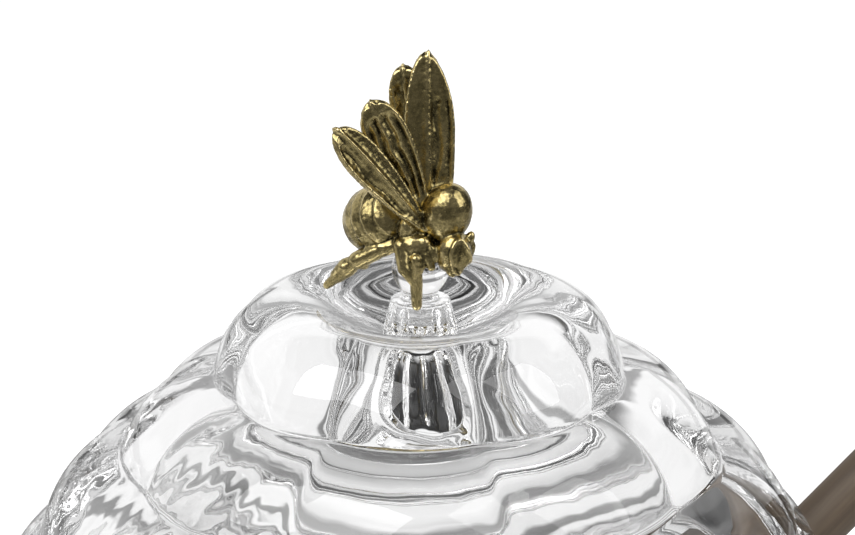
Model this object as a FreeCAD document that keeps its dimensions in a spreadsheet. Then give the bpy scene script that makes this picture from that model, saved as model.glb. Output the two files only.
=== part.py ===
import FreeCAD, Part
import math
import os

import Sketcher
from FreeCAD import Placement, Rotation, Vector

# Glass beehive honey pot: a lobed lid with a cast bee on its knob, a lobed pot,
# and a wooden dipper that leans out through a slanted port across the seam.
# Millimetres. Origin: centre of the base, in the plane it stands on. +Z up, -Y is the front.

os.makedirs("parts", exist_ok=True)
doc = FreeCAD.newDocument("honey_pot")

# ---------------------------------------------------------------- sizes
sheet = doc.addObject("Spreadsheet::Sheet", "Sizes")
sizeRow = 0


def size(alias, value, note=""):
    """Put one driving size in the sheet under its alias."""
    global sizeRow
    sizeRow += 1
    sheet.set(f"A{sizeRow}", alias)
    sheet.set(f"B{sizeRow}", str(value))
    sheet.set(f"C{sizeRow}", note)
    sheet.setAlias(f"B{sizeRow}", alias)


size("lobeCount", 9, "lobes round every tier")
size("lobeTurn", -94.5, "angle of the front lobe from +X, degrees")
size("grooveDepth", 1.45, "between two lobes, under their crests")
size("crownGroove", 1.2, "the same at the rim of tier 1")
size("crownFade", 0.3, "the same where tier 1 rolls over its crown")
size("lap", 1.0, "how far a tier reaches up inside the one above")
size("tuck", 2.0, "how far its top starts inside the rim above")
size("seatGap", 0.2, "play where one piece rests on another")

# Tiers from the top down: height, radius of the rim on a lobe's crest, and how
# far the side swells over a straight line. The lid ends at the rim of tier 4.
size("shoulderRadius", 17.6, "crest of the crown")
size("rise1", 12.4)
size("rim1Radius", 28.4)
size("swell1", 3.9)
size("rise2", 10.4)
size("rim2Radius", 42.2)
size("swell2", 3.95)
size("rise3", 10.6)
size("rim3Radius", 53.4)
size("swell3", 3.55)
size("rise4", 15.1)
size("rim4Radius", 60.8)
size("swell4", 3.2)
size("rise5", 14.3)
size("rim5Radius", 63.2)
size("swell5", 2.3)
size("rise6", 14.0)
size("rim6Radius", 62.4)
size("swell6", 2.0)
size("rise7", 12.6)
size("rim7Radius", 54.5, "the base")
size("swell7", 2.2)

# The dish in the crown and the knob that stands in it.
size("dishDepth", 8.2)
size("crownInner", 11.5, "where the crown's roll meets the dish's slope")
size("crownDrop", 2.2)
size("crownBow", 20.0)
size("crownPast", 1.0, "how far the dish's roll runs past the crest")
size("crownLift", 0.6, "how high it is there, over the crest")
size("knobRoot", 1.5, "how deep the knob starts inside the crown")
size("footRadius", 4.6)
size("footRise", 0.4)
size("neckRadius", 3.0)
size("neckRise", 1.4)
size("bellRadius", 5.3)
size("bellSkirt", 0.9, "upright lower edge of the bell")
size("flareRise", 1.8)
size("bellTopRadius", 4.1)
size("bellRise", 4.6)
size("bellCrown", 0.2, "how far the bell's top rises towards the waist")
size("waistRadius", 2.4)
size("ballRadius", 3.95)
size("ballRise", 4.3, "bell's top to the ball's centre")

# Inside of the lid and of the pot.
size("crownWall", 5.0, "glass under the dish")
size("hollowBow", 53.7)
size("roofFlat", 2.5, "small flat in the middle of the roof")
size("rimWall", 7.4, "the pot's wall at its mouth")
size("mouthDepth", 3.0, "upright part of the mouth")
size("mouthPlay", 0.5, "between the lid's collar and the mouth")
size("collarWall", 2.6)
size("collarDrop", 3.0)
size("bellyWall", 7.6)
size("bellyRise", 15.0, "floor to the widest part of the inside")
size("footWall", 11.5)
size("floorHeight", 7.0)
size("floorBow", 19.0)
size("bellyBow", 60.0)

# Dipper and the port it leans in.
size("dipperTurn", 17.0, "direction it leans in, degrees from +X")
size("dipperLean", 42.4, "degrees above the table")
size("tipGap", 1.35, "the dipper's lower edge over the floor")
size("portInset", 2.9, "the dipper's axis inside the lid's rim, at the seam")
size("portPlay", 0.6)
size("portInward", 11.1, "along the dipper, from the seam")
size("portOutward", 24.9)
size("handleRadius", 4.1)
size("dipperLength", 148.0)
size("neckTaper", 5.0, "from the head to the full handle")
size("headRadius", 9.0)
size("headLength", 24.0)
size("headTipRadius", 6.6)
size("headBow", 21.6)
size("endRise", 1.8)
size("endBow", 4.2)
size("endFlat", 1.4)
size("slotCount", 5)
size("coreRadius", 4.0, "wood left inside the slots")
size("slotWidth", 1.7)
size("slotPitch", 3.9)
size("slotStart", 3.4)

# Bee: half-lengths and half-widths of its rounded parts.
size("thoraxLong", 4.1)
size("thoraxAcross", 3.5)
size("abdomenLong", 6.0)
size("abdomenAcross", 4.8)
size("headLong", 3.6)
size("headAcross", 2.6)
size("waistLong", 3.6)
size("waistAcross", 2.3)
size("bellyLong", 2.9)
size("bellyAcross", 2.2)
size("saddleLong", 3.2)
size("saddleAcross", 2.7)
size("eyeLong", 2.4)
size("eyeAcross", 1.5)
size("wingThickness", 1.0)
size("upperWingWidth", 6.4)
size("lowerWingWidth", 5.4)
size("legClear", 0.6, "a leg's middle in front of the ball")
doc.recompute()


class Cell:
    """A size from the sheet, or a sum of sizes: its number and its expression."""

    def __init__(self, number, text):
        self.number = number
        self.text = text

    def __add__(self, other):
        other = asCell(other)
        return Cell(self.number + other.number, f"({self.text} + {other.text})")

    def __sub__(self, other):
        other = asCell(other)
        return Cell(self.number - other.number, f"({self.text} - {other.text})")

    def __mul__(self, other):
        other = asCell(other)
        return Cell(self.number * other.number, f"({self.text} * {other.text})")

    def __neg__(self):
        return Cell(-self.number, f"(-1 * {self.text})")


def asCell(thing):
    return thing if isinstance(thing, Cell) else Cell(float(thing), repr(float(thing)))


def cell(alias):
    return Cell(float(sheet.get(alias)), "Sizes." + alias)


def number(alias):
    return cell(alias).number


tierCount = 7
firstPotTier = 5
sectionCount = 6  # lobed rings that one tier is lofted through
clear = 5  # how far a cutting tool reaches past what it cuts


def rimHeight(tier):
    """Height of a tier's rim over the table. Tier 0 is the crown's crest."""
    height = asCell(0)
    for lower in range(tier + 1, tierCount + 1):
        height = height + cell(f"rise{lower}")
    return height


seam = rimHeight(4)
shoulder = rimHeight(0)
dishFloor = shoulder - cell("dishDepth")
bellBottom = dishFloor + cell("neckRise")
bellWidest = bellBottom + cell("flareRise")
bellTop = bellWidest + cell("bellRise")
ballHeight = bellTop + cell("ballRise")
mouth = cell("rim4Radius") - cell("rimWall")


# ---------------------------------------------------------------- helpers
def originPart(body, role):
    for feature in body.Origin.OriginFeatures:
        if feature.Role == role:
            return feature
    raise RuntimeError("no " + role)


def bowed(start, finish, bow, side):
    """Short arc of radius bow between two points, drawn counterclockwise."""
    middle = (start + finish) * 0.5
    chord = finish - start
    across = Vector(-chord.y, chord.x, 0).normalize() * side
    half = chord.Length / 2
    sag = bow - math.sqrt(bow * bow - half * half)
    ends = (start, finish) if side < 0 else (finish, start)
    return Part.Arc(ends[0], middle + across * sag, ends[1])


def pin(sketch, kind, edge, end, place):
    """Hold one coordinate of a point. Zero is a point on an axis of the sketch."""
    place = asCell(place)
    if abs(place.number) < 1e-9:
        axis = -2 if kind == "DistanceX" else -1
        sketch.addConstraint(Sketcher.Constraint("PointOnObject", edge, end, axis))
        return
    row = sketch.addConstraint(Sketcher.Constraint(kind, -1, 1, edge, end, place.number))
    if "Sizes" in place.text:
        sketch.setExpression(f"Constraints[{row}]", place.text)


def outline(body, name, points, arcs=None):
    """Closed outline in the XZ plane through (radius, height) points. arcs maps
    the index of an edge's first point to (bow, side): side +1 bows to its left."""
    arcs = arcs or {}
    sketch = body.newObject("Sketcher::SketchObject", name)
    sketch.AttachmentSupport = [(originPart(body, "XZ_Plane"), "")]
    sketch.MapMode = "FlatFace"
    spots = [Vector(asCell(radius).number, asCell(height).number, 0) for radius, height in points]
    ends = []
    for index, start in enumerate(spots):
        finish = spots[(index + 1) % len(spots)]
        if index in arcs:
            bow, side = arcs[index]
            edge = bowed(start, finish, asCell(bow).number, side)
            row = sketch.addGeometry(edge, False)
            forward = sketch.Geometry[row].StartPoint.distanceToPoint(start) < 1e-6
            ends.append((1, 2) if forward else (2, 1))
        else:
            sketch.addGeometry(Part.LineSegment(start, finish), False)
            ends.append((1, 2))
    for index, (radius, height) in enumerate(points):
        before = (index - 1) % len(points)
        sketch.addConstraint(
            Sketcher.Constraint("Coincident", before, ends[before][1], index, ends[index][0]))
        pin(sketch, "DistanceX", index, ends[index][0], radius)
        pin(sketch, "DistanceY", index, ends[index][0], height)
        if index in arcs:
            bow = asCell(arcs[index][0])
            row = sketch.addConstraint(Sketcher.Constraint("Radius", index, bow.number))
            sketch.setExpression(f"Constraints[{row}]", bow.text)
    return sketch


def turned(body, kind, name, sketch):
    """Revolution or Groove of a sketch all the way round its upright axis."""
    feature = body.newObject("PartDesign::" + kind, name)
    feature.Profile = sketch
    feature.ReferenceAxis = (sketch, ["V_Axis"])
    feature.Angle = 360
    doc.recompute()
    body.Tip = feature
    return feature


def revolved(name, points, arcs=None):
    """Body that is one outline turned about the pot's axis."""
    body = doc.addObject("PartDesign::Body", name)
    turned(body, "Revolution", name + "Turned", outline(body, name + "Outline", points, arcs))
    return body


def lobedWire(crest, height, depth):
    """Closed ring of arcs, one to a lobe, that meet in sharp grooves."""
    count = int(number("lobeCount"))
    half = math.pi / count
    edges = []
    for lobe in range(count):
        middle = math.radians(number("lobeTurn")) + 2 * half * lobe
        spots = [Vector(radius * math.cos(turn), radius * math.sin(turn), height)
                 for radius, turn in ((crest - depth, middle - half), (crest, middle),
                                      (crest - depth, middle + half))]
        edges.append(Part.Arc(*spots).toShape())
    return Part.Wire(edges)


def lobedTier(tier, bottom=None):
    """One ring of pillows. Its side swells out from the narrow top to the wide rim."""
    if tier == 1:
        start = Vector(number("shoulderRadius"), shoulder.number, 0)
        depths = (number("crownFade"), number("crownGroove"))
    else:
        start = Vector(number(f"rim{tier - 1}Radius") - number("tuck"),
                       rimHeight(tier - 1).number + number("lap"), 0)
        depths = (number("grooveDepth"), number("grooveDepth"))
    if tier == firstPotTier:
        start.y = seam.number
    finish = Vector(number(f"rim{tier}Radius"), (bottom or rimHeight(tier)).number, 0)
    run = finish - start
    middle = (start + finish) * 0.5 + Vector(-run.y, run.x, 0).normalize() * number(f"swell{tier}")
    side = Part.Arc(start, middle, finish).toShape().discretize(Number=sectionCount)
    sections = []
    for index, point in enumerate(side):
        depth = depths[0] + (depths[1] - depths[0]) * index / (sectionCount - 1)
        sections.append(lobedWire(point.x, point.y, depth))
    shape = doc.addObject("Part::Feature", f"tier{tier}")
    shape.Shape = Part.makeLoft(sections, True, False)
    return shape


# ---------------------------------------------------------------- dipper
lean = math.radians(number("dipperLean"))
turn = math.radians(number("dipperTurn"))
tipHeight = number("floorHeight") + number("headTipRadius") * math.cos(lean) + number("tipGap")
seamAlong = (seam.number - tipHeight) / math.sin(lean)
tipReach = number("rim4Radius") - number("portInset") - seamAlong * math.cos(lean)


def dipperPlacement(along, rise=0.0):
    """Frame whose Z runs up the dipper, at a distance from its lower tip."""
    outward = Vector(math.cos(turn), math.sin(turn), 0)
    up = Vector(0, 0, 1)
    way = outward * math.cos(lean) + up * math.sin(lean)
    over = up * math.cos(lean) - outward * math.sin(lean)
    tip = outward * tipReach + up * tipHeight
    return Placement(tip + way * along + over * rise, Rotation(up, way))


def makeDipper():
    """Round handle with a domed end, and a barrel head with turned slots."""
    body = doc.addObject("PartDesign::Body", "dipper")
    body.Label = "dipper"
    grip = cell("handleRadius")
    top = cell("dipperLength")
    head = cell("headLength")
    tip = cell("headTipRadius")
    widest = cell("headRadius")
    sketch = outline(
        body, "dipperOutline",
        [(0, 0), (tip, 0), (widest, head * 0.5), (tip, head), (grip, head + cell("neckTaper")),
         (grip, top - cell("endRise")), (cell("endFlat"), top), (0, top)],
        {1: (cell("headBow"), -1), 2: (cell("headBow"), -1), 5: (cell("endBow"), -1)})
    turned(body, "Revolution", "dipperSolid", sketch)
    low = cell("slotStart")
    high = low + cell("slotWidth")
    core = cell("coreRadius")
    slot = outline(
        body, "slotOutline",
        [(core, low), (widest + clear, low), (widest + clear, high), (core, high)])
    cut = turned(body, "Groove", "slot", slot)
    pattern = body.newObject("PartDesign::LinearPattern", "slots")
    pattern.Originals = [cut]
    pattern.Direction = (originPart(body, "Z_Axis"), [""])
    pattern.Occurrences = int(number("slotCount"))
    pattern.setExpression("Occurrences", "Sizes.slotCount")
    pattern.Length = number("slotPitch") * (number("slotCount") - 1)
    pattern.setExpression("Length", "Sizes.slotPitch * (Sizes.slotCount - 1)")
    body.Tip = pattern
    doc.recompute()
    body.Placement = dipperPlacement(0)
    return body


def makePort(name):
    """Slanted round hole that the handle passes through, half in lid and half in pot."""
    port = doc.addObject("Part::Cylinder", name)
    port.setExpression("Radius", "Sizes.handleRadius + Sizes.portPlay")
    port.setExpression("Height", "Sizes.portInward + Sizes.portOutward")
    lift = number("portPlay") - number("seatGap")
    port.Placement = dipperPlacement(seamAlong - number("portInward"), lift)
    return port


# ---------------------------------------------------------------- glass
def makeLid():
    low = seam + cell("seatGap")
    tiers = [lobedTier(1), lobedTier(2), lobedTier(3), lobedTier(4, low)]
    above = ballHeight + clear
    past = cell("shoulderRadius") + cell("crownPast")
    dish = revolved(
        "dish",
        [(0, dishFloor), (cell("footRadius"), dishFloor),
         (cell("crownInner"), shoulder - cell("crownDrop")), (past, shoulder + cell("crownLift")),
         (past, above), (0, above)],
        {2: (cell("crownBow"), 1)})
    outer = mouth - cell("mouthPlay")
    inner = outer - cell("collarWall")
    foot = low - cell("collarDrop")
    buried = low + cell("lap")
    collar = revolved("collar", [(0, foot), (outer, foot), (outer, buried), (0, buried)])
    roof = dishFloor - cell("crownWall")
    hollow = revolved(
        "hollow",
        [(0, foot - clear), (inner, foot - clear), (inner, low), (cell("roofFlat"), roof), (0, roof)],
        {2: (cell("hollowBow"), -1)})
    crown = cutBy("crown", fused("lidTiers", tiers + [collar]), dish)
    return fused("lidGlass", [cutBy("shell", crown, hollow), makeKnob()])


def makeKnob():
    """Foot, neck, bell and waist turned in one, with the ball on top."""
    rooted = dishFloor - cell("knobRoot")
    foot = cell("footRadius")
    body = revolved(
        "knob",
        [(0, rooted), (foot, rooted), (foot, dishFloor + cell("footRise")), (cell("neckRadius"), bellBottom),
         (cell("bellRadius"), bellWidest - cell("bellSkirt")), (cell("bellRadius"), bellWidest),
         (cell("bellTopRadius"), bellTop), (cell("waistRadius"), bellTop + cell("bellCrown")),
         (cell("waistRadius"), ballHeight), (0, ballHeight)])
    ball = body.newObject("PartDesign::AdditiveSphere", "ball")
    ball.setExpression("Radius", "Sizes.ballRadius")
    ball.setExpression("Placement.Base.z", ballHeight.text)
    body.Tip = ball
    doc.recompute()
    return body


def makePot():
    floor = cell("floorHeight")
    inside = revolved(
        "inside",
        [(0, floor), (cell("rim7Radius") - cell("footWall"), floor),
         (cell("rim5Radius") - cell("bellyWall"), floor + cell("bellyRise")),
         (mouth, seam - cell("mouthDepth")), (mouth, seam + clear), (0, seam + clear)],
        {1: (cell("floorBow"), -1), 2: (cell("bellyBow"), -1)})
    return cutBy("potGlass", fused("potTiers", [lobedTier(5), lobedTier(6), lobedTier(7)]), inside)


def fused(label, pieces):
    fuse = doc.addObject("Part::MultiFuse", label)
    fuse.Shapes = pieces
    doc.recompute()
    return fuse


def cutBy(label, base, tool):
    cut = doc.addObject("Part::Cut", label)
    cut.Label = label
    cut.Base = base
    cut.Tool = tool
    doc.recompute()
    return cut


# ---------------------------------------------------------------- bee
poleAngle = 85  # an egg ends in a small flat, so that its pole closes cleanly


def egg(name, centre, long, across, way):
    """Ellipsoid with its long axis along way. Places count from the ball's centre."""
    shape = doc.addObject("Part::Ellipsoid", name)
    shape.setExpression("Radius1", "Sizes." + long)
    shape.setExpression("Radius2", "Sizes." + across)
    shape.setExpression("Radius3", "Sizes." + across)
    shape.Angle1 = -poleAngle
    shape.Angle2 = poleAngle
    shape.Placement = Placement(onBall(centre), Rotation(Vector(0, 0, 1), Vector(*way)))
    return shape


def onBall(place):
    return Vector(*place) + Vector(0, 0, ballHeight.number)


def limb(name, start, finish, startRadius, finishRadius):
    """Tapered leg segment between two points."""
    run = Vector(*finish) - Vector(*start)
    shape = doc.addObject("Part::Cone", name)
    shape.Radius1 = startRadius
    shape.Radius2 = finishRadius
    shape.Height = run.Length
    shape.Placement = Placement(onBall(start), Rotation(Vector(0, 0, 1), run))
    return shape


def knuckle(name, centre, radius):
    shape = doc.addObject("Part::Sphere", name)
    shape.Radius = radius
    shape.Placement = Placement(onBall(centre), Rotation())
    return shape


def wing(name, root, tip, width, widest, face):
    """Leaf-shaped blade from root to tip. widest is where along it the blade is
    broadest, and face is the direction its flat side looks in."""
    run = Vector(*tip) - Vector(*root)
    length = run.Length
    thick = number("wingThickness") / 2
    power = math.log(0.5) / math.log(widest)
    steps = 9
    sections = []
    for step in range(steps + 1):
        share = 0.02 + 0.96 * step / steps
        reach = width / 2 * math.sin(math.pi * share ** power) ** 0.8
        reach = max(reach, thick * 1.05)
        ellipse = Part.Ellipse(Vector(0, 0, 0), reach, thick)
        edge = ellipse.toShape()
        edge.translate(Vector(0, 0, share * length))
        sections.append(Part.Wire([edge]))
    blade = Part.makeLoft(sections, True, False)
    along = run.normalize()
    normal = Vector(*face)
    normal = (normal - along * normal.dot(along)).normalize()
    across = normal.cross(along)
    frame = FreeCAD.Matrix(
        across.x, normal.x, along.x, 0, across.y, normal.y, along.y, 0,
        across.z, normal.z, along.z, 0, 0, 0, 0, 1)
    shape = doc.addObject("Part::Feature", name)
    shape.Shape = blade
    shape.Placement = Placement(onBall(root), Rotation(frame))
    return shape


def makeBee():
    """One casting: body, wings and legs fused, with a hollow that fits the ball.
    Its legs come down in front of the ball, and the peg stands on the bell."""
    upper = number("upperWingWidth")
    lower = number("lowerWingWidth")
    front = -number("ballRadius") - number("legClear")
    bellRoof = bellTop.number - ballHeight.number + number("seatGap")
    pieces = [
        egg("thorax", (3.5, -1.8, 9.1), "thoraxLong", "thoraxAcross", (0.5, -0.6, 1)),
        egg("abdomen", (-5.6, 3.0, 6.2), "abdomenLong", "abdomenAcross", (-0.5, 0.75, -0.43)),
        egg("head", (4.5, -3.8, 3.9), "headLong", "headAcross", (0.35, 0, 1)),
        egg("waist", (-0.8, -0.4, 6.6), "waistLong", "waistAcross", (1, -0.3, 0.3)),
        egg("belly", (-0.6, -2.6, 4.2), "bellyLong", "bellyAcross", (1, 0, -0.1)),
        egg("saddle", (-1.4, 0.8, 4.0), "saddleLong", "saddleAcross", (0.8, 0.5, 0)),
        egg("eye", (5.0, -5.2, 3.3), "eyeLong", "eyeAcross", (0.35, 0, 1)),
        wing("wingFarUpper", (2.4, 0, 9.5), (1.2, 3, 30.6), upper, 0.5, (0.3, -1, 0)),
        wing("wingFarLower", (0.8, 0.6, 7.4), (-2.3, 4.4, 27.8), lower, 0.72, (-0.2, -1, 0)),
        wing("wingNearUpper", (0.6, -1.6, 8.0), (-6.6, -4, 24.9), lower, 0.68, (0, -1, 0.2)),
        wing("wingNearLower", (0.8, -2.6, 6.2), (-11.4, -7.5, 21.8), upper, 0.6, (0.4, -1, 0.4)),
        limb("peg", (-0.5, front + 0.8, bellRoof), (-0.6, front, 2.6), 0.8, 0.85),
        limb("foreLeg", (-0.9, front, -0.4), (-2.6, -3.4, 4.4), 0.7, 1.1),
        limb("midLeg", (0, front + 0.15, 1.4), (0.5, -3.6, 5.0), 0.6, 0.9),
        limb("thigh", (-3.0, -1.4, 4.4), (-8.5, 0, 1.0), 1.2, 1.1),
        knuckle("knee", (-8.5, 0, 1.0), 1.25),
        limb("shin", (-8.3, 0, 1.2), (-11.5, 1.5, -1.7), 1.2, 1.05),
        limb("foot", (-11.0, 1.3, -1.3), (-13.1, 2.4, -3.4), 0.95, 0.65),
    ]
    form = fused("beeForm", pieces)
    seat = doc.addObject("Part::Sphere", "beeSeat")
    seat.setExpression("Radius", "Sizes.ballRadius + Sizes.seatGap")
    seat.Placement = Placement(onBall((0, 0, 0)), Rotation(Vector(0, 0, 1), Vector(1, 0.3, 0)))
    doc.recompute()
    return cutBy("bee", form, seat)


# ---------------------------------------------------------------- build
lid = cutBy("lid", makeLid(), makePort("lidPort"))
pot = cutBy("pot", makePot(), makePort("potPort"))
dipper = makeDipper()
bee = makeBee()
doc.recompute()

for thing in doc.Objects:
    bad = [word for word in thing.State if word in ("Invalid", "Error")]
    if bad:
        raise RuntimeError(f"{thing.Label} failed: {thing.State}")

nodes = [lid, pot, dipper, bee]
for node in nodes:
    shape = node.Shape
    if shape.isNull() or not shape.isValid() or len(shape.Solids) != 1:
        raise RuntimeError(f"{node.Label}: {len(shape.Solids)} solids, valid {shape.isValid()}")
for node in nodes:
    box = node.Shape.BoundBox
    print(f"{node.Label}: {node.Shape.Volume:.0f} mm3, z {box.ZMin:.2f} to {box.ZMax:.2f}, "
          f"x {box.XMin:.1f} to {box.XMax:.1f}, y {box.YMin:.1f} to {box.YMax:.1f}")
    node.Shape.exportStep(f"parts/{node.Label}.step")
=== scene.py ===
import math

import bmesh
import bpy
from mathutils import Matrix, Vector, noise
from mathutils.geometry import intersect_line_line_2d


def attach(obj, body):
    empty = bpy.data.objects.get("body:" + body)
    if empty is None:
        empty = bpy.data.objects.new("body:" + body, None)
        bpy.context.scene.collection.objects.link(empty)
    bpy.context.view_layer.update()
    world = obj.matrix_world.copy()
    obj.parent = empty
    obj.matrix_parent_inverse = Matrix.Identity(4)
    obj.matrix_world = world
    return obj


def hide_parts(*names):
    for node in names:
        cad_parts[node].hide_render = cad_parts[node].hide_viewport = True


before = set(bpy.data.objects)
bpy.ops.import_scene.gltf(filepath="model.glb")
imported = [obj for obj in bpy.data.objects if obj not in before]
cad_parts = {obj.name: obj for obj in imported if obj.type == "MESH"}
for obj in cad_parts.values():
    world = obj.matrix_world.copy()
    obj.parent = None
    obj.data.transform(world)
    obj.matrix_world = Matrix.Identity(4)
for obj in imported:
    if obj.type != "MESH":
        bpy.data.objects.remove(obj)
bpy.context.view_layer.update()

scene = bpy.context.scene
mm = 0.001


# shader maths
class Value:  # one socket, so that sums read as sums
    def __init__(self, nodes, socket):
        self.nodes, self.socket = nodes, socket

    def maths(self, operation, first, second):
        return self.nodes.add("Math", {"operation": operation}, [first, second])

    def __add__(self, other):
        return self.maths("ADD", self, other)

    def __sub__(self, other):
        return self.maths("SUBTRACT", self, other)

    def __rsub__(self, other):
        return self.maths("SUBTRACT", other, self)

    def __mul__(self, other):
        return self.maths("MULTIPLY", self, other)

    def __truediv__(self, other):
        return self.maths("DIVIDE", self, other)


class Nodes:  # the node tree of one material, or of the world
    def __init__(self, tree):
        self.tree = tree
        tree.nodes.clear()

    def add(self, kind, settings=None, inputs=None, out=0):
        node = self.tree.nodes.new("ShaderNode" + kind)
        for name, setting in (settings or {}).items():
            if name == "stops":
                self.fillRamp(node.color_ramp, setting)
            else:
                setattr(node, name, setting)
        given = inputs.items() if isinstance(inputs, dict) else enumerate(inputs or [])
        for key, value in given:
            if isinstance(value, Value):
                self.tree.links.new(value.socket, node.inputs[key])
            else:
                node.inputs[key].default_value = value
        return Value(self, node.outputs[out]) if node.outputs else None

    def fillRamp(self, ramp, stops):
        while len(ramp.elements) < len(stops):
            ramp.elements.new(1.0)
        for element, (place, colour) in zip(ramp.elements, stops):
            element.position = place
            element.color = (*colour, 1.0)

    def ramp(self, factor, stops):
        return self.add("ValToRGB", {"stops": stops}, [factor])

    def greys(self, factor, stops):
        return self.ramp(factor, [(place, (grey,) * 3) for place, grey in stops])

    def noise(self, vector, scale, detail, roughness=0.5):
        return self.add(
            "TexNoise", {}, {"Vector": vector, "Scale": scale, "Detail": detail, "Roughness": roughness})

    def step(self, value, start, finish):
        return self.add("MapRange", {"interpolation_type": "SMOOTHSTEP"}, [value, start, finish, 0.0, 1.0])

    def parts(self, vector):
        return [self.add("SeparateXYZ", {}, [vector], out=part) for part in range(3)]

    def emission(self, strength):
        return self.add("Emission", {}, {"Color": (1, 1, 1, 1), "Strength": strength})

    def bent(self):  # 1 for rays that metal or glass sends on
        return self.lightPath("Is Glossy Ray") + self.lightPath("Is Transmission Ray")

    def lightPath(self, name):
        return self.add("LightPath", out=name)


def newMaterial(name):
    material = bpy.data.materials.new(name)
    material.use_nodes = True
    return material, Nodes(material.node_tree)


# outlines, in mm: a spot is (radius, height) or (radius, height, groove depth, share of ripple)
def arcBetween(start, finish, bow, steps, swell=1):  # swells to the left of its run
    start, finish = Vector(start), Vector(finish)
    run = finish - start
    left = Vector((-run.y, run.x)).normalized() * swell
    centre = (start + finish) / 2 - left * math.sqrt(bow ** 2 - run.length_squared / 4)
    first, last = start - centre, finish - centre
    return [centre + bow * first.slerp(last, step / steps) for step in range(steps + 1)]


def swollen(start, finish, sag, steps):
    half = (Vector(finish) - Vector(start)).length / 2
    return arcBetween(start, finish, (half ** 2 + sag ** 2) / (2 * sag), steps)


def lineBetween(start, finish, step=0.5):
    start, finish = Vector(start), Vector(finish)
    steps = max(2, round((finish - start).length / step))
    return [start.lerp(finish, index / steps) for index in range(steps + 1)]


def lobed(points, depth, ripple=1.0):  # gives plain points a groove depth and a share of ripple
    return [Vector((*point, depth, ripple)) for point in points]


def crossing(first, second):  # where two chains meet, as (place in first, place in second, point)
    for row in range(len(first) - 1, 0, -1):
        for column in range(len(second) - 1):
            point = intersect_line_line_2d(
                first[row - 1].xy, first[row].xy, second[column].xy, second[column + 1].xy)
            if point:
                return row, column + 1, point
    return len(first), 0, first[-1].xy


def joined(first, second, reach, steps=4):  # the two chains with their corner rounded
    row, column, point = crossing(first, second)
    before = [spot for spot in first[:row] if (spot.xy - point).length > reach]
    after = [spot for spot in second[column:] if (spot.xy - point).length > reach]
    start, finish = before[-1], after[0]
    corner = (start + finish) / 2
    corner.x, corner.y = point
    bend = []
    for step in range(1, steps):
        share = step / steps
        bend.append(start.lerp(corner, share).lerp(corner.lerp(finish, share), share))
    return before + bend + after


def joinAll(chains, reach):
    path = chains[0]
    for chain in chains[1:]:
        path = joined(path, chain, reach)
    return path


def eased(path, rounds):  # spreads each change of groove depth and ripple along the outline
    for _ in range(rounds):
        path = [
            Vector((*spot.xy, *((before.zw + spot.zw * 2 + after.zw) / 4)))
            for before, spot, after in zip([path[0]] + path, path, path[1:] + [path[-1]])]
    return path


hive = {
    "lobes": 9,
    "turn": math.radians(-94.5),   # middle of the front lobe
    "stepsPerLobe": 28,
    "crowding": 0.72,              # how far the steps gather at the grooves
    "grooveRound": 0.022,
    "grooveShift": 0.35,
    "cornerReach": 0.38,
    "tierSteps": 34,
    "tiers": [                     # start, rim, swell, groove depth at the start and at the rim
        ((17.6, 89.4), (28.4, 77.0), 3.9, 0.45, 1.2),
        ((26.4, 78.0), (42.2, 66.6), 3.95, 1.45, 1.45),
        ((40.2, 67.6), (53.4, 56.0), 3.55, 1.45, 1.45),
        ((51.4, 57.0), (60.8, 41.1), 3.2, 1.45, 1.45),
        ((58.8, 40.9), (63.2, 26.6), 2.3, 1.45, 1.45),
        ((61.2, 27.6), (62.4, 12.6), 2.0, 1.45, 1.45),
        ((60.4, 13.6), (54.5, 0.0), 2.2, 1.45, 1.45),
    ],
    "ripple": 0.05,
    "rippleSize": 7.0,
    "fineRipple": 0.4,
    "fineRippleSize": 2.3,
}
half = math.pi / hive["lobes"]


def lobeRadius(crest, depth, across):  # across is 0 on the crest, half in the groove
    groove = crest - depth
    offset = (crest ** 2 - groove ** 2) / (2 * (crest - groove * math.cos(half)))
    across = half - math.hypot(half - across, hive["grooveRound"])
    across += hive["grooveRound"] * hive["grooveShift"]
    inside = (crest - offset) ** 2 - (offset * math.sin(across)) ** 2
    return offset * math.cos(across) + math.sqrt(max(inside, 0.01))


def tierChain(index):
    start, rim, sag, top, bottom = hive["tiers"][index]
    steps = hive["tierSteps"]
    points = swollen(start, rim, sag, steps)
    return [Vector((*point, top + (bottom - top) * row / steps, 1.0)) for row, point in enumerate(points)]


def tierJoin(tiers):  # tiers one under another, with a ledge where they don't meet
    chains = [tierChain(index) for index in tiers]
    reach = hive["cornerReach"]
    path = chains[0]
    for chain in chains[1:]:
        if crossing(path, chain)[0] == len(path):
            rim = path[-1]
            foot = min(chain, key=lambda spot: abs(spot.y - rim.y))
            ledge = lobed(lineBetween(rim.xy, foot.xy, 0.3), foot.z)
            path = joined(path, ledge, reach)
            chain = [spot for spot in chain if spot.y < rim.y]
        path = joined(path, chain, reach)
    return path


def spun(path):  # the outline turned about the axis, each point keeping its groove depth and ripple
    bm = bmesh.new()
    depths = bm.verts.layers.float.new("depth")
    ripples = bm.verts.layers.float.new("ripple")
    ring = []
    for spot in path:
        vert = bm.verts.new((spot.x, 0, spot.y))
        vert[depths], vert[ripples] = spot.z, spot.w
        ring.append(vert)
    edges = [bm.edges.new(pair) for pair in zip(ring, ring[1:])]
    bmesh.ops.spin(
        bm, geom=ring + edges, cent=(0, 0, 0), axis=(0, 0, 1), angle=2 * math.pi,
        steps=hive["lobes"] * hive["stepsPerLobe"], use_merge=True)
    bmesh.ops.remove_doubles(bm, verts=bm.verts, dist=1e-4)
    return bm, depths, ripples


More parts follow.
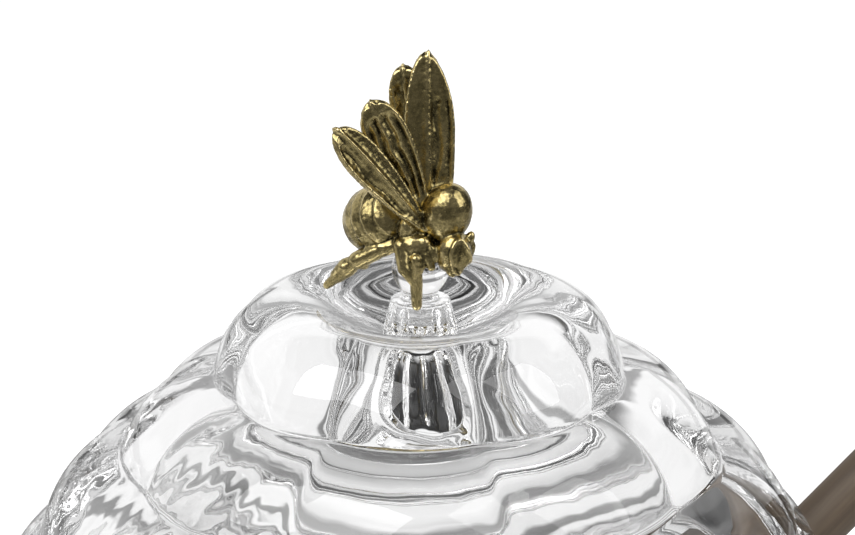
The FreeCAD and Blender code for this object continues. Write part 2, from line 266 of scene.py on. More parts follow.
def turnedGlass(name, path, flute=None):  # spins the outline, then pushes the lobes into it
    bm, depths, ripples = spun(path)
    for vert in bm.verts:
        radius = vert.co.xy.length
        if radius < 1e-3:
            continue
        depth = vert[depths]
        turn = math.atan2(vert.co.y, vert.co.x)
        middle = round(turn / (2 * half)) * 2 * half
        place = (turn - middle) / half
        crowd = hive["crowding"] * min(1.0, depth * 2)
        place = (1 - crowd) * place + crowd * math.sin(place * math.pi / 2)
        turn = middle + place * half + hive["turn"]
        if depth > 0.01:
            radius = lobeRadius(radius, depth, abs(place) * half)
        if flute:
            radius += flute(radius, vert.co.z, turn)
        spot = Vector((radius * math.cos(turn), radius * math.sin(turn), vert.co.z))
        wave = noise.noise(spot / hive["rippleSize"])
        wave += hive["fineRipple"] * noise.noise(spot / hive["fineRippleSize"])
        spot.xy *= 1 + hive["ripple"] * vert[ripples] * wave / radius
        vert.co = spot
    bmesh.ops.scale(bm, vec=(mm, mm, mm), verts=bm.verts)
    bmesh.ops.recalc_face_normals(bm, faces=bm.faces)
    return meshObject(name, bm)


def meshObject(name, bm):
    mesh = bpy.data.meshes.new(name)
    for face in bm.faces:
        face.smooth = True
    bm.to_mesh(mesh)
    bm.free()
    piece = bpy.data.objects.new(name, mesh)
    scene.collection.objects.link(piece)
    return piece


def applied(piece):  # the piece with its modifiers made real
    graph = bpy.context.evaluated_depsgraph_get()
    mesh = bpy.data.meshes.new_from_object(piece.evaluated_get(graph))
    piece.modifiers.clear()
    piece.data = mesh
    return piece


def cutWith(piece, cutter):
    change = piece.modifiers.new("port", "BOOLEAN")
    change.operation = "DIFFERENCE"
    change.solver = "EXACT"
    change.object = cutter
    applied(piece)
    bpy.data.objects.remove(cutter)


# dipper's sizes, in mm along its axis from its tip, and the port that it leans through
dipperShape = {
    "turn": math.radians(17.0), "lean": math.radians(42.4), "reach": 27.58, "tip": 13.22,
    "handleRadius": 4.1, "length": 148.0, "neckTaper": 5.0,
    "headRadius": 9.0, "headLength": 24.0, "headTipRadius": 6.6, "headBow": 21.6,
    "endRise": 1.8, "endBow": 4.2, "endFlat": 1.4, "edge": 0.25, "step": 0.45,
    "slots": 5, "coreRadius": 4.0, "slotWidth": 1.7, "slotPitch": 3.9, "slotStart": 3.4,
    "slotCorner": 0.35, "portPlay": 0.6, "lift": 0.4, "portStart": 30.0, "portEnd": 66.0,
}


def dipperFrame(along, rise=0.0):
    lean, turn = dipperShape["lean"], dipperShape["turn"]
    out = Vector((math.cos(turn), math.sin(turn), 0))
    up = Vector((0, 0, 1))
    way = out * math.cos(lean) + up * math.sin(lean)
    over = up * math.cos(lean) - out * math.sin(lean)
    tip = out * dipperShape["reach"] + up * dipperShape["tip"]
    place = (tip + way * along + over * rise) * mm
    return Matrix.Translation(place) @ way.to_track_quat("Z", "Y").to_matrix().to_4x4()


def portCutter():
    bm = bmesh.new()
    length = (dipperShape["portEnd"] - dipperShape["portStart"]) * mm
    radius = (dipperShape["handleRadius"] + dipperShape["portPlay"]) * mm
    shift = Matrix.Translation((0, 0, length / 2))
    bmesh.ops.create_cone(
        bm, cap_ends=True, segments=64, radius1=radius, radius2=radius, depth=length,
        matrix=dipperFrame(dipperShape["portStart"], dipperShape["lift"]) @ shift)
    return meshObject("portCutter", bm)


# lid
knob = {
    "ballRadius": 3.95, "ballHeight": 93.3, "waistRadius": 2.4, "bellTopRadius": 4.1, "bellTop": 89.0,
    "bellRadius": 5.3, "bellWidest": 84.4, "bellSkirt": 83.5, "neckRadius": 3.0, "bellBottom": 82.6,
    "footRadius": 4.6, "footRise": 0.42, "waistTop": 0.2, "flutes": 12, "fluteDepth": 0.30,
    "soft": 0.25,
}
dish = {"floor": 81.2, "inner": (11.5, 87.2), "crest": (17.6, 89.4), "bow": 12.0}
inside = {
    "roof": 76.2, "roofFlat": 2.5, "bow": 53.7, "collarInner": 50.3, "collarOuter": 52.9,
    "collarLow": 38.1, "seam": 41.1,
}


def lidPath():
    ball, waist, top = knob["ballRadius"], knob["waistRadius"], knob["bellTop"]
    low = math.acos(waist / ball)
    cap = [
        Vector((ball * math.sin(turn), knob["ballHeight"] + ball * math.cos(turn)))
        for turn in [(math.pi / 2 + low) * step / 26 for step in range(27)]]
    turned = [   # corners of the knob's stem, each with the step of the line to it
        (cap[-1], None), ((waist, top + knob["waistTop"]), 0.2), ((knob["bellTopRadius"], top), 0.2),
        ((knob["bellRadius"], knob["bellWidest"]), 0.3), ((knob["bellRadius"], knob["bellSkirt"]), 0.2),
        ((knob["neckRadius"], knob["bellBottom"]), 0.2),
        ((knob["footRadius"], dish["floor"] + knob["footRise"]), 0.2)]
    chains = [cap] + [
        lineBetween(start, finish, step) for (start, _), (finish, step) in zip(turned, turned[1:])]
    stem = joinAll([lobed(chain, 0.0, 0.0) for chain in chains], knob["soft"])
    slope = lobed(lineBetween((knob["footRadius"] - 0.4, dish["floor"]), dish["inner"], 0.4), 0.0, 0.3)
    roll = lobed(arcBetween(dish["inner"], dish["crest"], dish["bow"], 16), 0.0, 0.5)
    tiers = tierJoin((0, 1, 2, 3))
    crown = joined(joined(stem, slope, 0.6), roll, 1.2)
    outer = eased(joined(crown, tiers, 0.8), 5)
    rim = outer[-1]
    collar, low = inside["collarOuter"], inside["collarLow"]
    ledge = lobed(lineBetween(rim.xy, (collar, inside["seam"]), 0.6), rim.z)
    for spot in ledge:
        spot.z = rim.z * (spot.x - collar) / (rim.x - collar)
    corners = [(collar, inside["seam"]), (collar, low), (inside["collarInner"], low),
               (inside["collarInner"], inside["seam"])]
    sealed = [ledge] + [lobed(lineBetween(*pair), 0.0, 0.0) for pair in zip(corners, corners[1:])]
    sealed.append(lobed(arcBetween(
        corners[-1], (inside["roofFlat"], inside["roof"]), inside["bow"], 60, -1), 0.0, 0.6))
    path = joinAll([outer] + sealed, 0.3)
    return path + lobed([(inside["roofFlat"] / 2, inside["roof"]), (0, inside["roof"])], 0.0, 0.0)


def bellFlute(radius, height, turn):  # how far the bell's flutes move a point in or out
    above, below = knob["bellTop"] + 0.1 - height, height - knob["bellBottom"]
    if radius > knob["bellRadius"] + 0.7 or above < 0 or below < 0:
        return 0.0
    rise = min(1.0, above / 0.8, below / 0.5)
    wave = abs(math.sin(turn * knob["flutes"] / 2))
    shrink = max(0.0, (radius - knob["waistRadius"]) / 2)
    return -knob["fluteDepth"] * rise * (1 - wave) ** 1.4 * shrink


print("turning the lid")
lid = turnedGlass("lidGlass", lidPath(), bellFlute)
cutWith(lid, portCutter())

# pot
bowl = {
    "seam": 40.9, "mouthRadius": 53.4, "bellyRadius": 55.6, "bellyHeight": 22.0, "floorRadius": 43.0,
    "floorHeight": 7.0, "floorBow": 19.0, "bellyBow": 60.0, "mouthDepth": 3.0,
}


def potPath():
    outer = eased(tierJoin((4, 5, 6)), 3)
    mouth = (bowl["mouthRadius"], bowl["seam"])
    lip = lobed(lineBetween(mouth, outer[0].xy, 0.5), 0.0)
    for spot in lip:
        spot.z = outer[0].z * (spot.x - mouth[0]) / (outer[0].x - mouth[0])
    base = lobed(lineBetween(outer[-1].xy, (0, 0), 1.8), 0.0, 0.0)
    for spot in base:
        spot.z = outer[-1].z * max(0.0, spot.x / outer[-1].x * 2 - 1)
    corner = (bowl["floorRadius"], bowl["floorHeight"])
    belly = (bowl["bellyRadius"], bowl["bellyHeight"])
    neck = (bowl["mouthRadius"], bowl["seam"] - bowl["mouthDepth"])
    wall = [
        lineBetween((0, bowl["floorHeight"]), corner, 1.6),
        arcBetween(corner, belly, bowl["floorBow"], 20, -1),
        arcBetween(belly, neck, bowl["bellyBow"], 20, -1),
        lineBetween(neck, mouth)]
    return joinAll([lobed(chain, 0.0, 0.5) for chain in wall] + [lip, outer, base], 0.35)


print("turning the pot")
pot = turnedGlass("potGlass", potPath())
cutWith(pot, portCutter())


# dipper
def headRadiusAt(height):
    middle = dipperShape["headLength"] / 2
    widest, tip = dipperShape["headRadius"], dipperShape["headTipRadius"]
    start, finish = (tip, 0), (widest, middle)
    if height >= middle:
        start, finish = finish, (tip, 2 * middle)
    chain = arcBetween(start, finish, dipperShape["headBow"], 24, -1)
    return min(chain, key=lambda point: abs(point.y - height)).x


def slotCut(start, finish):  # one slot of the head, with softened edges
    edge, core, corner = dipperShape["edge"], dipperShape["coreRadius"], dipperShape["slotCorner"]
    half = [
        (-0.05, edge * 0.4, True), (-edge, -0.02, True), (0.3, -0.05, False), (0.0, -corner, False)]
    down = [(shift + (headRadiusAt(start) if rim else core), start - back) for shift, back, rim in half]
    up = [(shift + (headRadiusAt(finish) if rim else core), finish + back) for shift, back, rim in half]
    return down + up[::-1]


def dipperPath():
    edge, step = dipperShape["edge"], dipperShape["step"]
    headEnd, headTip = dipperShape["headLength"], dipperShape["headTipRadius"]
    path = [(0, 0), (headTip - 0.8, 0), (headTip - 0.2, 0.2)]
    height = 0.6
    for slot in range(dipperShape["slots"]):
        start = dipperShape["slotStart"] + slot * dipperShape["slotPitch"]
        finish = start + dipperShape["slotWidth"]
        while height < start - edge:
            path.append((headRadiusAt(height), height))
            height += step
        path += slotCut(start, finish)
        height = finish + edge
    while height < headEnd:
        path.append((headRadiusAt(height), height))
        height += step
    grip, top = dipperShape["handleRadius"], dipperShape["length"]
    neck = headEnd + dipperShape["neckTaper"]
    path.append((headRadiusAt(headEnd) - 0.15, headEnd + 0.1))
    for chain in (
            lineBetween((headTip - 0.6, headEnd + 0.5), (grip, neck), 0.8),
            lineBetween((grip, neck + 1.5), (grip, top - 2.0), 1.5),
            arcBetween((grip, top - dipperShape["endRise"]), (dipperShape["endFlat"], top),
                       dipperShape["endBow"], 8, -1)):
        path += [tuple(point) for point in chain]
    return path + [(0, top)]


def makeDipper():
    bm = bmesh.new()
    ring = [bm.verts.new((radius * mm, 0, height * mm)) for radius, height in dipperPath()]
    edges = [bm.edges.new(pair) for pair in zip(ring, ring[1:])]
    bmesh.ops.spin(
        bm, geom=ring + edges, cent=(0, 0, 0), axis=(0, 0, 1), angle=2 * math.pi, steps=64, use_merge=True)
    bmesh.ops.remove_doubles(bm, verts=bm.verts, dist=1e-7)
    bmesh.ops.transform(bm, matrix=dipperFrame(0), verts=bm.verts)
    bmesh.ops.recalc_face_normals(bm, faces=bm.faces)
    piece = meshObject("dipperWood", bm)
    piece.data.set_sharp_from_angle(angle=math.radians(40))
    return piece


print("turning the dipper")
dipper = makeDipper()

# bee, in mm from the centre of the knob's ball
ballCentre = Vector((0, 0, knob["ballHeight"]))
beeShape = {
    "eggs": {   # centre, half-length, half-width, direction of its length
        "thorax": ((3.5, -1.9, 8.5), 4.7, 3.5, (0.3, -0.45, 1)),
        "abdomen": ((-5.6, 3.0, 6.2), 6.0, 4.8, (-0.5, 0.75, -0.43)),
        "head": ((4.5, -3.6, 3.5), 3.1, 2.5, (0.2, -0.3, 1)),
        "muzzle": ((4.4, -4.6, 2.3), 2.0, 1.1, (-0.1, -0.25, -1)),
        "eye": ((5.4, -4.7, 3.3), 2.5, 1.35, (0.25, -0.1, 1)),
        "feelerRoot": ((6.6, -3.6, 5.4), 1.2, 0.7, (0.5, 0, 1)),
        "feeler": ((6.9, -3.3, 3.8), 1.3, 0.55, (0.2, 0, 1)),
        "waist": ((-0.8, -0.4, 6.6), 3.6, 2.3, (1, -0.3, 0.3)),
        "waistKnot": ((-1.7, -2.6, 6.7), 1.9, 1.3, (0.3, -0.2, 1)),
        "belly": ((-0.6, -2.6, 4.2), 2.9, 2.0, (1, 0, -0.1)),
        "farBelly": ((-1.4, 0.8, 4.2), 3.2, 2.5, (0.8, 0.5, 0)),
        "hip": ((-2.4, -3.0, 2.9), 1.5, 1.0, (0.4, 0, -1)),
        "foreHip": ((1.7, -3.9, 3.6), 1.6, 0.9, (0.7, -0.2, -1)),
    },
    "limbs": [  # points with the radius at each
        [((-0.5, -3.75, -4.05), 0.75), ((-0.55, -4.2, -1.0), 0.9), ((-0.6, -4.5, 2.8), 0.8)],
        [((-0.9, -4.5, -0.6), 0.55), ((-2.2, -4.3, 1.4), 0.95), ((-2.6, -3.4, 4.4), 1.1)],
        [((0.0, -4.5, 1.2), 0.5), ((0.5, -3.6, 5.0), 0.9)],
        [((1.5, -4.4, 1.6), 0.55), ((0.9, -4.1, 3.2), 0.8)],
        [((-2.6, -1.6, 4.4), 1.1), ((-5.6, -0.9, 3.0), 1.2), ((-8.6, 0, 1.2), 1.3),
         ((-7.9, 0.1, 0.9), 1.1)],
        [((-8.6, 0.1, 1.1), 1.0), ((-10.1, 0.8, -0.1), 1.4), ((-11.4, 1.6, -1.5), 1.1)],
        [((-11.5, 1.5, -1.7), 0.85), ((-13.0, 2.3, -3.2), 0.6)],
    ],
    "voxel": 0.00017,
    "hammer": 0.045, "hammerSize": 2.1, "fineHammerSize": 4.6,
    "seatGap": 0.15,
}
# relief of the casting, in mm: rings of the abdomen, rim of the eye, veins of the wings
bands = {"pitch": 1.9, "shift": 0.15, "rise": 0.24, "groove": 0.2, "sunk": 0.1}
eyeRim = {"rise": 0.42, "place": 0.95, "width": 0.12, "hollow": 0.35}
veins = {
    "sunk": 0.3, "wave": 0.17, "wander": 2.4, "keelWidth": 0.15, "panelEdge": 0.35, "panelEnd": 0.9,
    "rootBare": 0.05, "rootFade": 0.15,
}
wings = {  # face is the way a wing looks, widths are to its two sides, panel is the sunk part with veins
    "farUpper": {
        "root": (1.3, 0.0, 8.5), "tip": (1.2, 3.0, 30.0), "face": (0.1, -1, 0), "widths": (3.5, 3.5),
        "rootShare": 0.85, "widest": 0.5, "blunt": (0.45, 0.8), "thick": 0.9, "keel": 0.12, "ridge": 0.22,
        "panel": (-0.86, 0.0, 0.12, 0.72), "waves": 11},
    "farLower": {
        "root": (0.8, 0.6, 7.4), "tip": (-2.3, 4.4, 27.8), "face": (-0.2, -1, 0), "widths": (2.7, 2.7),
        "rootShare": 0.5, "widest": 0.74, "blunt": (0.5, 0.5), "thick": 0.9, "keel": 0.0, "ridge": 0.2,
        "panel": (-0.7, 0.7, 0.3, 0.86), "waves": 8},
    "nearUpper": {
        "root": (0.6, -1.6, 8.0), "tip": (-6.6, -4.0, 24.9), "face": (0, -1, 0.2), "widths": (3.2, 3.1),
        "rootShare": 0.3, "widest": 0.68, "blunt": (0.5, 0.5), "thick": 0.9, "keel": 0.1, "ridge": 0.15,
        "panel": (-0.8, 0.72, 0.15, 0.88), "waves": 13},
    "nearLower": {
        "root": (0.6, -2.8, 6.4), "tip": (-11.4, -7.5, 21.6), "face": (0.4, -1, 0.4), "widths": (2.5, 2.9),
        "rootShare": 0.3, "widest": 0.7, "blunt": (0.5, 0.4), "thick": 1.0, "keel": -0.15, "ridge": 0.55,
        "panel": (0.12, 0.8, 0.2, 0.9), "waves": 7},
}


def addEgg(bm, centre, long, across, way):
    turn = Vector(way).to_track_quat("Z", "Y").to_matrix().to_4x4()
    matrix = Matrix.Translation(Vector(centre)) @ turn @ Matrix.Diagonal((across, across, long, 1))
    bmesh.ops.create_uvsphere(bm, u_segments=40, v_segments=24, radius=1, matrix=matrix)


def addLimb(bm, joints):
    for (start, startRadius), (finish, finishRadius) in zip(joints, joints[1:]):
        start, finish = Vector(start), Vector(finish)
        run = finish - start
        turn = run.to_track_quat("Z", "Y").to_matrix().to_4x4()
        bmesh.ops.create_cone(
            bm, cap_ends=True, segments=24, radius1=startRadius, radius2=finishRadius, depth=run.length,
            matrix=Matrix.Translation((start + finish) / 2) @ turn)
    for centre, radius in joints:
        bmesh.ops.create_icosphere(
            bm, subdivisions=3, radius=radius, matrix=Matrix.Translation(Vector(centre)))


def wingFrame(wing):  # X across, Y the way it faces, Z along
    root, tip = Vector(wing["root"]), Vector(wing["tip"])
    along = (tip - root).normalized()
    face = Vector(wing["face"])
    face = (face - along * face.dot(along)).normalized()
    across = face.cross(along)
    frameOf = Matrix((across, face, along)).transposed().to_4x4()
    frameOf.translation = root
    return frameOf, (tip - root).length


def wingReach(wing, share, side):  # half-width at a share of the length
    pick = 0 if side > 0 else 1
    if share < wing["widest"]:
        rise = math.sin(math.pi / 2 * max(0.0, share) / wing["widest"])
        return wing["widths"][pick] * (wing["rootShare"] + (1 - wing["rootShare"]) * rise)
    past = min(1.0, (share - wing["widest"]) / (1 - wing["widest"]))
    return max(0.05, wing["widths"][pick] * (1 - past ** 2) ** wing["blunt"][pick])


def addWing(bm, wing):
    frameOf, length = wingFrame(wing)
    made = bmesh.ops.create_grid(bm, x_segments=24, y_segments=70, size=1)["verts"]
    for vert in made:
        side, share = vert.co.x, (vert.co.y + 1) / 2
        reach = wingReach(wing, share, side)
        cup = -0.5 * (1 - side * side) * wing["thick"] * 0.4
        vert.co = frameOf @ Vector((side * reach, cup, share * length))
    faces = list({face for vert in made for face in vert.link_faces})
    bmesh.ops.recalc_face_normals(bm, faces=faces)
    bmesh.ops.solidify(bm, geom=faces, thickness=wing["thick"])


def castForm():
    bm = bmesh.new()
    for egg in beeShape["eggs"].values():
        addEgg(bm, *egg)
    for joints in beeShape["limbs"]:
        addLimb(bm, joints)
    for wing in wings.values():
        addWing(bm, wing)
    bmesh.ops.translate(bm, vec=ballCentre, verts=bm.verts)
    bmesh.ops.scale(bm, vec=(mm, mm, mm), verts=bm.verts)
    piece = meshObject("beeBrass", bm)
    change = piece.modifiers.new("cast", "REMESH")
    change.mode = "VOXEL"
    change.voxel_size = beeShape["voxel"]
    return applied(piece)


def clamped(value):
    return min(1.0, max(0.0, value))


def bump(value, centre, width):
    return math.exp(-((value - centre) / width) ** 2)


def wingRelief(spot, wing, back, length):  # back takes a point to the wing's own axes
    local = back @ spot
    share = local.z / length
    if not 0.0 < share < 1.05 or abs(local.y) > wing["thick"] * 1.3:
        return 0.0
    reach = wingReach(wing, share, local.x)
    side = local.x / reach
    if abs(side) > 1.15:
        return 0.0
    low, high, start, finish = wing["panel"]
    edge = min(side - low, high - side) * reach
    ends = min(share - start, finish - share) * length
    sunk = clamped(edge / veins["panelEdge"]) * clamped(ends / veins["panelEnd"])
    wander = veins["wander"] * noise.noise(Vector((side * 2, share * 6, 3)))
    wave = math.cos(side * wing["waves"] + wander)
    relief = sunk * (veins["wave"] * wave - veins["sunk"])
    relief += wing["ridge"] * bump(side, wing["keel"], veins["keelWidth"]) * min(1, share * 2)
    return relief * clamped((share - veins["rootBare"]) / veins["rootFade"])


def beeRelief(spot):  # how far the cast surface stands out at a point
    relief = 0.0
    centre, long, across, way = beeShape["eggs"]["abdomen"]
    away, way = spot - Vector(centre), Vector(way).normalized()
    along = away.dot(way)
    radius = (away - way * along).length
    if (radius / across) ** 2 + (along / long) ** 2 < 1.25:
        place = (along / bands["pitch"] + bands["shift"]) % 1.0
        relief += bands["rise"] * place - bands["groove"] * bump(place, 0.97, 0.06) - bands["sunk"]
    eye, eyeLong, eyeAcross, eyeWay = beeShape["eggs"]["eye"]
    away = spot - Vector(eye)
    along = away.dot(Vector(eyeWay).normalized())
    radius = math.hypot(along / eyeLong, away.x / eyeAcross)
    if away.y < 0.4 and radius < 1.3:
        relief += eyeRim["rise"] * bump(radius, eyeRim["place"], eyeRim["width"])
        relief -= eyeRim["hollow"] * bump(radius, 0.0, 0.6)
    return relief


def hammered(spot):
    coarse = noise.noise(spot * beeShape["hammerSize"])
    return beeShape["hammer"] * (coarse + 0.5 * noise.noise(spot * beeShape["fineHammerSize"]))


def smoothed(bm, rounds):
    for _ in range(rounds):
        bmesh.ops.smooth_vert(
            bm, verts=bm.verts, factor=0.5, use_axis_x=True, use_axis_y=True, use_axis_z=True)


def makeBee():
    piece = castForm()
    frames = []
    for wing in wings.values():
        frameOf, length = wingFrame(wing)
        frames.append((wing, frameOf.inverted(), length))
    bm = bmesh.new()
    bm.from_mesh(piece.data)
    smoothed(bm, 2)
    bm.normal_update()
    seat = knob["ballRadius"] + beeShape["seatGap"]
    moved = []
    for vert in bm.verts:
        spot = vert.co / mm - ballCentre
        relief = beeRelief(spot) + hammered(spot)
        for wing, back, length in frames:
            relief += wingRelief(spot, wing, back, length)
        place = vert.co + vert.normal * relief * mm
        away = place / mm - ballCentre
        if away.length < seat:
            place = (ballCentre + away.normalized() * seat) * mm
        moved.append(place)
    for vert, place in zip(bm.verts, moved):
        vert.co = place
    smoothed(bm, 1)
    for face in bm.faces:
        face.smooth = True
    bm.to_mesh(piece.data)
    bm.free()
    print("bee faces", len(piece.data.polygons))
    return piece


print("casting the bee")
bee = makeBee()

# materials: sizes of noise are in waves to the metre
looks = {
    "glassIor": 1.5, "glassShade": (0.97, 0.98, 0.98, 1), "glassWaves": 160.0, "glassRolls": 240.0,
    "wave": 0.08, "roll": 0.9, "waveHeight": 0.0002, "rollEast": (-0.012, -0.024), "rollTop": (0.073, 0.066),
    "brassHigh": (0.70, 0.57, 0.28), "brassMid": (0.32, 0.26, 0.115), "brassLow": (0.02, 0.017, 0.008),
    "brassPatches": 420.0, "brassGrit": 2600.0, "brassRough": 0.27, "brassRelief": 0.00006,
    "woodLight": (0.115, 0.083, 0.052), "woodMid": (0.085, 0.058, 0.036), "woodDark": (0.055, 0.037, 0.023),
    "woodFibres": 900.0, "woodBands": 260.0, "woodStretch": 0.06, "woodRough": 0.6, "woodRelief": 0.00012,
}


def glassMaterial():
    material, nodes = newMaterial("clearGlass")
    place = nodes.add("TexCoord", out=3)
    east, _, height = nodes.parts(place)
    waves = nodes.noise(place, looks["glassWaves"], 2.0)
    rolls = nodes.noise(place, looks["glassRolls"], 1.0, 0.4)
    rolled = nodes.step(east, *looks["rollEast"]) * nodes.step(height, *looks["rollTop"])
    relief = nodes.add("Bump", {}, {
        "Strength": 1.0, "Distance": looks["waveHeight"],
        "Height": waves * looks["wave"] + rolls * rolled * looks["roll"]})
    glass = nodes.add("BsdfPrincipled", {}, {
        "Base Color": (1, 1, 1, 1), "Roughness": 0.0, "IOR": looks["glassIor"],
        "Transmission Weight": 1.0, "Normal": relief})
    clear = nodes.add("BsdfTransparent", {}, {"Color": looks["glassShade"]})
    mixed = nodes.add("MixShader", {}, [nodes.lightPath("Is Shadow Ray"), glass, clear])
    nodes.add("OutputMaterial", {}, {"Surface": mixed})
    return material


def brassMaterial():  # rubbed bright on its edges, dark in its hollows
    material, nodes = newMaterial("antiqueBrass")
    place = nodes.add("TexCoord", out=3)
    patches = nodes.noise(place, looks["brassPatches"], 4.0, 0.6)
    grit = nodes.noise(place, looks["brassGrit"], 3.0, 0.6)
    edge = nodes.add("NewGeometry", out="Pointiness")
    worn = (edge - 0.5) * 5.0 + 0.5 + (patches - 0.5) * 0.7 + (grit - 0.5) * 0.25
    tone = nodes.ramp(worn, [
        (0.25, looks["brassLow"]), (0.48, looks["brassMid"]), (0.8, looks["brassHigh"])])
    rough = looks["brassRough"] - (worn - 0.3) * 0.12 + (grit - 0.5) * 0.12
    relief = nodes.add("Bump", {}, {
        "Strength": 0.35, "Distance": looks["brassRelief"], "Height": grit + patches * 0.6})
    brass = nodes.add("BsdfPrincipled", {}, {
        "Base Color": tone, "Metallic": 1.0, "Roughness": rough, "Normal": relief})
    nodes.add("OutputMaterial", {}, {"Surface": brass})
    return material


def woodMaterial():  # the grain runs along the dipper
    material, nodes = newMaterial("darkWood")
    place = nodes.add("TexCoord", out=3)
    turned = dipperFrame(0).to_3x3().transposed()
    parts = [
        nodes.add("VectorMath", {"operation": "DOT_PRODUCT"}, [place, tuple(row)], out=1) for row in turned]
    grain = nodes.add("CombineXYZ", {}, [parts[0], parts[1], parts[2] * looks["woodStretch"]])
    fibres = nodes.noise(grain, looks["woodFibres"], 4.0, 0.6)
    streaks = nodes.noise(grain, looks["woodBands"], 3.0)
    tone = nodes.ramp(fibres * 0.55 + streaks * 0.45, [
        (0.33, looks["woodDark"]), (0.5, looks["woodMid"]), (0.68, looks["woodLight"])])
    relief = nodes.add("Bump", {}, {
        "Strength": 0.4, "Distance": looks["woodRelief"], "Height": fibres})
    wood = nodes.add("BsdfPrincipled", {}, {
        "Base Color": tone, "Roughness": (fibres - 0.5) * 0.3 + looks["woodRough"], "Coat Weight": 0.06,
        "Coat Roughness": 0.45, "Normal": relief})
    nodes.add("OutputMaterial", {}, {"Surface": wood})
    return material


print("finishing the materials")
clearGlass = glassMaterial()
for piece, material, node, slot in (
        (lid, clearGlass, "lid", "clear_glass"),
        (pot, clearGlass, "pot", "clear_glass"),
        (bee, brassMaterial(), "bee", "antique_brass"),
        (dipper, woodMaterial(), "dipper", "dark_wood")):
    piece.data.materials.clear()
    piece.data.materials.append(material)
    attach(piece, "root")
    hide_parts(node)

# floor, world, lamps and camera: what glass and metal see is white, with the studio's dark parts and painted
# shade on the floor
studio = {
    "floorRadius": 2.0, "floorGlow": 0.35, "floorColour": 0.8, "worldLight": 0.55,
    "rings": [      # painted shade on the floor, darkest in rings of the pot's shadow and towards the far edge: share of the floor's radius, brightness
        (0.0, 0.85), (0.008, 0.7), (0.014, 0.1), (0.034, 0.12), (0.042, 0.6), (0.07, 0.9),
        (0.085, 0.35), (0.13, 0.3), (0.16, 0.8), (0.25, 0.97), (0.5, 0.9), (1.0, 0.25)],
    "sky": [        # sine of the elevation, brightness
        (0.0, 0.25), (0.04, 0.3), (0.07, 0.95), (0.6, 1.0), (0.66, 0.03), (0.95, 0.02), (0.98, 0.8)],
    "cardFrom": 0.58, "cardFloor": (0.28, 0.38), "cardDark": (0.9, 0.85),   # painted dark card at the right: a dark patch painted on the floor and a dark band in the sky
    "floorFront": (-0.25, -0.08), "skyFront": (-0.2, 0.5),   # where the painted shade on the floor's front and the darker sky in front begin
    "floorDim": (0.75, 0.65), "skyDim": (0.8, 0.7),          # how dark, and how much less through glass
}


# painted shade on the floor's front, and a darker sky in front, as glass and metal see them
def frontDim(nodes, north, reach, dim):
    through = nodes.lightPath("Is Transmission Ray")
    return (1 - nodes.step(north, *reach)) * (dim[0] - through * dim[1])


def makeFloor():
    bm = bmesh.new()
    bmesh.ops.create_circle(bm, cap_ends=True, segments=96, radius=studio["floorRadius"])
    floor = meshObject("floor", bm)
    material, nodes = newMaterial("paleFloor")
    place = nodes.add("TexCoord", out=3)
    away = nodes.add("VectorMath", {"operation": "LENGTH"}, [place], out=1)
    east, north, _ = nodes.parts(place)
    # painted shadow: rings of the pot's shadow and a darker far edge, painted on the floor for glass and
    # metal
    rings = nodes.greys(away / studio["floorRadius"], studio["rings"])
    # painted shade: a dark card's patch painted on the floor at the right, seen by glass and metal
    card = nodes.step(east / away, studio["cardFrom"], 0.7) * nodes.step(away, *studio["cardFloor"])
    # painted shade: the floor's front darker for glass and metal
    dim = frontDim(nodes, north, studio["floorFront"], studio["floorDim"])
    # the floor glows for glass and metal with painted shade and a painted dark card, in place of its lit
    # colour
    shown = nodes.emission(rings * (1 - card * studio["cardDark"][0]) * (1 - dim))
    base = nodes.add("BsdfDiffuse", {}, {"Color": (studio["floorColour"],) * 3 + (1,)})
    glow = nodes.emission(nodes.lightPath("Is Camera Ray") * studio["floorGlow"])
    both = nodes.add("AddShader", {}, [base, glow])
    nodes.add("OutputMaterial", {}, {"Surface": nodes.add("MixShader", {}, [nodes.bent(), both, shown])})
    floor.data.materials.append(material)


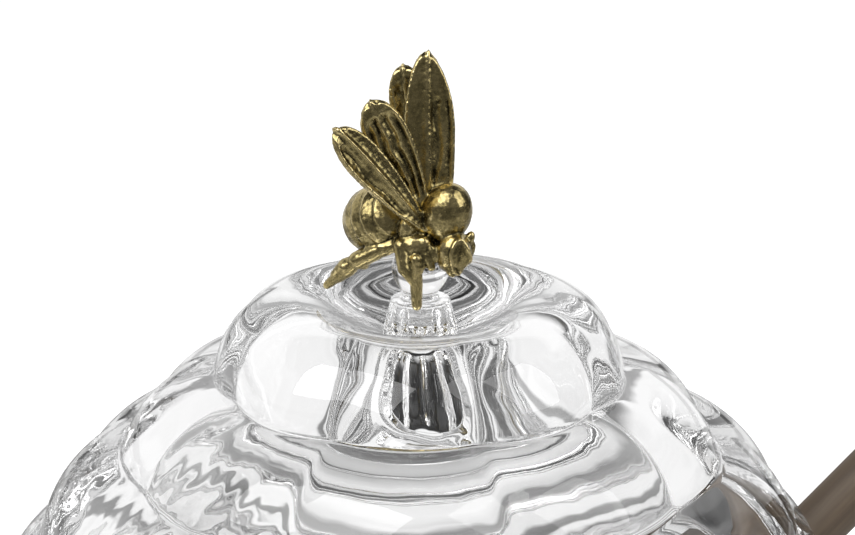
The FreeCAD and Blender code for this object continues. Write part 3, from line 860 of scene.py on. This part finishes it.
def makeWorld():
    world = bpy.data.worlds.new("studio")
    scene.world = world
    world.use_nodes = True
    nodes = Nodes(world.node_tree)
    east, north, height = nodes.parts(nodes.add("TexCoord", out=0))
    dim = frontDim(nodes, north, studio["skyFront"], studio["skyDim"])
    card = nodes.step(east, studio["cardFrom"], 0.72)
    sky = nodes.greys(height, studio["sky"]) * (1 - dim) * (1 - card * studio["cardDark"][1])
    plain, shown, white = [
        nodes.add("Background", {}, {"Color": (1, 1, 1, 1), "Strength": strength})
        for strength in (studio["worldLight"], sky, 1.0)]
    first = nodes.add("MixShader", {}, [nodes.bent(), plain, shown])
    last = nodes.add("MixShader", {}, [nodes.lightPath("Is Camera Ray"), first, white])
    nodes.add("OutputWorld", {}, {"Surface": last})


def addLamp(name, place, size, power):
    lamp = bpy.data.lights.new(name, "AREA")
    lamp.shape = "RECTANGLE"
    lamp.size, lamp.size_y = size
    lamp.energy = power
    holder = bpy.data.objects.new(name, lamp)
    holder.location = place
    target = Vector((0, 0, 0.08))
    holder.rotation_euler = (target - Vector(place)).to_track_quat("-Z", "Y").to_euler()
    scene.collection.objects.link(holder)


view = {
    "lens": 92.63, "sensor": 36, "distance": 308 * mm, "target": 77 * mm,
    "lift": math.radians(21.4), "aimUp": math.radians(2.9), "aimRight": math.radians(0.195),
}


def makeCamera():
    camera = bpy.data.cameras.new("camera")
    camera.lens, camera.sensor_width = view["lens"], view["sensor"]
    camera.clip_start = 0.01
    holder = bpy.data.objects.new("camera", camera)
    ahead, up = view["distance"] * math.cos(view["lift"]), view["distance"] * math.sin(view["lift"])
    holder.location = (0, -ahead, view["target"] + up)
    holder.rotation_euler = (math.pi / 2 - view["lift"] + view["aimUp"], 0, -view["aimRight"])
    scene.collection.objects.link(holder)
    scene.camera = holder


print("setting the studio")
makeFloor()
makeWorld()
addLamp("keyLamp", (-0.5, -0.5, 0.8), (0.85, 0.85), 9)
addLamp("fillLamp", (0.7, -0.3, 0.6), (0.7, 1.0), 5)
makeCamera()
scene.view_settings.view_transform = "Standard"
scene.cycles.max_bounces = 28
scene.cycles.transmission_bounces = 28
scene.cycles.glossy_bounces = 12
scene.cycles.transparent_max_bounces = 24
scene.cycles.caustics_reflective = False
scene.cycles.caustics_refractive = False
